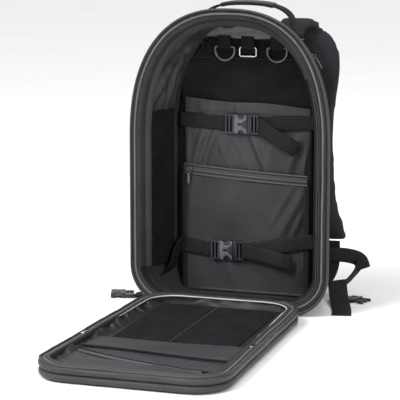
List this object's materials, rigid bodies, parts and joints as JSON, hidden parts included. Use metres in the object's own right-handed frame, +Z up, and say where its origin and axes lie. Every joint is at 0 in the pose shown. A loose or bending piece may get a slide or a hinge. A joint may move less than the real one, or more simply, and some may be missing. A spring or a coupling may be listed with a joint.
{
  "type": "trauma backpack",
  "caption": "Upright clamshell medical backpack with an arched mouth, its front panel unzipped and lying flat, webbing, pockets, buckles and carrying straps.",
  "frame": {"origin": "centre of the bag's base, on the floor", "axes": "+X to the right of someone facing the open mouth, +Y towards the wearer's back, +Z up"},
  "size_m": [0.4393, 0.6997, 0.507],
  "materials": {
    "outer_fabric": "woven nylon, matt",
    "edge_binding": "ribbed binding tape",
    "zipper_coil": "nylon coil on woven tape",
    "lining_fabric": "smooth lining, slightly glossy",
    "loop_pile": "brushed loop pile",
    "mesh_fabric": "open knitted mesh",
    "webbing": "ribbed webbing",
    "buckle_plastic": "moulded acetal, satin",
    "ring_metal": "polished",
    "ring_plastic": "moulded, satin",
    "slider_metal": "black paint"
  },
  "bodies": {
    "bag": {"arch_lining": "lining_fabric", "back_pads": "mesh_fabric", "back_panel": "outer_fabric", "base_panel": "outer_fabric", "body_zipper": "zipper_coil", "frame_sheet": "buckle_plastic", "gusset_zipper": "zipper_coil", "hinge_fabric": "outer_fabric", "left_loop_panel": "loop_pile", "left_side_panel": "outer_fabric", "lower_buckle_socket": "buckle_plastic", "lower_strap_left": "webbing", "lower_strap_right": "webbing", "lower_webbing": "webbing", "mesh_pocket": "mesh_fabric", "opening_rim": "edge_binding", "pocket_zipper": "zipper_coil", "right_side_panel": "outer_fabric", "right_side_pocket": "mesh_fabric", "ring_loops": "webbing", "shoulder_strap_left": "outer_fabric", "shoulder_strap_right": "outer_fabric", "side_webbing_rows": "webbing", "sleeve_pocket": "lining_fabric", "top_panel": "outer_fabric", "upper_buckle_socket": "buckle_plastic", "upper_loop_field": "loop_pile", "upper_strap_left": "webbing", "upper_strap_right": "webbing"},
    "lid": {"lid_panel": "outer_fabric", "lid_gusset": "outer_fabric", "lid_rim": "edge_binding", "lid_zipper": "zipper_coil", "lid_foam": "lining_fabric", "lid_loop_panel": "loop_pile", "lid_smooth_band": "lining_fabric", "lid_mesh_strip": "mesh_fabric", "lid_pocket": "lining_fabric", "lid_pocket_zipper": "zipper_coil", "lid_webbing_rows": "webbing"},
    "lid_slider_left": {"lid_slider_left": "slider_metal"},
    "lid_slider_right": {"lid_slider_right": "slider_metal"},
    "lid_pocket_slider": {"lid_pocket_slider": "slider_metal"},
    "pocket_slider": {"pocket_slider": "slider_metal"},
    "pocket_pull": {"pocket_pull": "slider_metal"},
    "d_ring_left": {"d_ring_left": "ring_plastic"},
    "square_ring": {"square_ring": "ring_metal"},
    "d_ring_right": {"d_ring_right": "ring_plastic"},
    "upper_buckle_plug": {"upper_buckle_plug": "buckle_plastic"},
    "upper_buckle_arm_low": {"upper_buckle_arm_low": "buckle_plastic"},
    "upper_buckle_arm_high": {"upper_buckle_arm_high": "buckle_plastic"},
    "lower_buckle_plug": {"lower_buckle_plug": "buckle_plastic"},
    "lower_buckle_arm_low": {"lower_buckle_arm_low": "buckle_plastic"},
    "lower_buckle_arm_high": {"lower_buckle_arm_high": "buckle_plastic"},
    "carry_handle": {"carry_handle": "webbing"},
    "ladder_lock_left": {"ladder_lock_left": "buckle_plastic"},
    "ladder_lock_right": {"ladder_lock_right": "buckle_plastic"},
    "waist_buckle_plug": {"waist_buckle_plug": "buckle_plastic"},
    "waist_buckle_socket": {"waist_buckle_socket": "buckle_plastic"},
    "gusset_pull": {"gusset_pull": "slider_metal"}
  },
  "joints": [
    {"name": "lid_hinge", "type": "hinge", "parent": "bag", "child": "lid", "pos_m": [0, -0.0796, 0.014], "axis": [-1, 0, 0], "range_deg": [0, 90]},
    {"name": "lid_slider_left_travel", "type": "slide", "parent": "lid", "child": "lid_slider_left", "axis": [-0.0242, -0.9997, 0], "range_m": [-0.15, 0.1]},
    {"name": "lid_slider_right_travel", "type": "slide", "parent": "lid", "child": "lid_slider_right", "axis": [0.0242, -0.9997, 0], "range_m": [-0.15, 0.1]},
    {"name": "lid_pocket_slider_travel", "type": "hinge", "parent": "lid", "child": "lid_pocket_slider", "pos_m": [0.19652, 0.20346, 0.016], "axis": [0, 0, -1], "range_deg": [0, 15.6]},
    {"name": "pocket_slider_travel", "type": "slide", "parent": "bag", "child": "pocket_slider", "axis": [0.9985, 0, -0.054], "range_m": [0, 0.195]},
    {"name": "pocket_pull_swing", "type": "hinge", "parent": "pocket_slider", "child": "pocket_pull", "pos_m": [-0.09939, 0.0276, 0.21988], "axis": [-1, 0, 0], "range_deg": [0, 80]},
    {"name": "d_ring_left_swing", "type": "hinge", "parent": "bag", "child": "d_ring_left", "pos_m": [-0.041, 0.04655, 0.43], "axis": [-1, 0, 0], "range_deg": [0, 95]},
    {"name": "square_ring_swing", "type": "hinge", "parent": "bag", "child": "square_ring", "pos_m": [0, 0.04655, 0.43], "axis": [-1, 0, 0], "range_deg": [0, 95]},
    {"name": "d_ring_right_swing", "type": "hinge", "parent": "bag", "child": "d_ring_right", "pos_m": [0.051, 0.04655, 0.43], "axis": [-1, 0, 0], "range_deg": [0, 95]},
    {"name": "upper_buckle_release", "type": "slide", "parent": "bag", "child": "upper_buckle_plug", "axis": [1, 0, 0], "range_m": [0, 0.03]},
    {"name": "upper_buckle_arm_low_squeeze", "type": "hinge", "parent": "upper_buckle_plug", "child": "upper_buckle_arm_low", "pos_m": [0.0029, 0.0358, 0.2905], "axis": [0, 1, 0], "range_deg": [0, 8], "stiffness_Nm_per_rad": 0.05},
    {"name": "upper_buckle_arm_high_squeeze", "type": "hinge", "parent": "upper_buckle_plug", "child": "upper_buckle_arm_high", "pos_m": [0.0029, 0.0358, 0.3115], "axis": [0, 1, 0], "range_deg": [-8, 0], "stiffness_Nm_per_rad": 0.05},
    {"name": "lower_buckle_release", "type": "slide", "parent": "bag", "child": "lower_buckle_plug", "axis": [1, 0, 0], "range_m": [0, 0.03]},
    {"name": "lower_buckle_arm_low_squeeze", "type": "hinge", "parent": "lower_buckle_plug", "child": "lower_buckle_arm_low", "pos_m": [-0.0191, 0.0262, 0.0735], "axis": [0, 1, 0], "range_deg": [0, 8], "stiffness_Nm_per_rad": 0.05},
    {"name": "lower_buckle_arm_high_squeeze", "type": "hinge", "parent": "lower_buckle_plug", "child": "lower_buckle_arm_high", "pos_m": [-0.0191, 0.0262, 0.0945], "axis": [0, 1, 0], "range_deg": [-8, 0], "stiffness_Nm_per_rad": 0.05},
    {"name": "carry_handle_tilt", "type": "hinge", "parent": "bag", "child": "carry_handle", "pos_m": [0, 0.048, 0.468], "axis": [1, 0, 0], "range_deg": [-25, 25], "stiffness_Nm_per_rad": 0.05},
    {"name": "ladder_lock_left_tilt", "type": "hinge", "parent": "bag", "child": "ladder_lock_left", "pos_m": [-0.137, 0.1064, 0.078], "axis": [1, 0, 0], "range_deg": [0, 30]},
    {"name": "ladder_lock_right_tilt", "type": "hinge", "parent": "bag", "child": "ladder_lock_right", "pos_m": [0.137, 0.1064, 0.078], "axis": [1, 0, 0], "range_deg": [0, 30]},
    {"name": "waist_buckle_plug_lift", "type": "hinge", "parent": "bag", "child": "waist_buckle_plug", "pos_m": [0.1719, 0.07823, 0.0025], "axis": [-0.342, -0.9397, 0], "range_deg": [0, 30]},
    {"name": "waist_buckle_socket_lift", "type": "hinge", "parent": "bag", "child": "waist_buckle_socket", "pos_m": [-0.18775, -0.01012, 0.0025], "axis": [-0.309, 0.9511, 0], "range_deg": [0, 40]},
    {"name": "gusset_pull_swing", "type": "hinge", "parent": "bag", "child": "gusset_pull", "pos_m": [0.13736, -0.035, 0.42877], "axis": [0, -1, 0], "range_deg": [0, 60]}
  ],
  "couplings": [
    {"joint": "upper_buckle_arm_high_squeeze", "follows": "upper_buckle_arm_low_squeeze", "ratio": -1},
    {"joint": "lower_buckle_arm_high_squeeze", "follows": "lower_buckle_arm_low_squeeze", "ratio": -1}
  ]
}
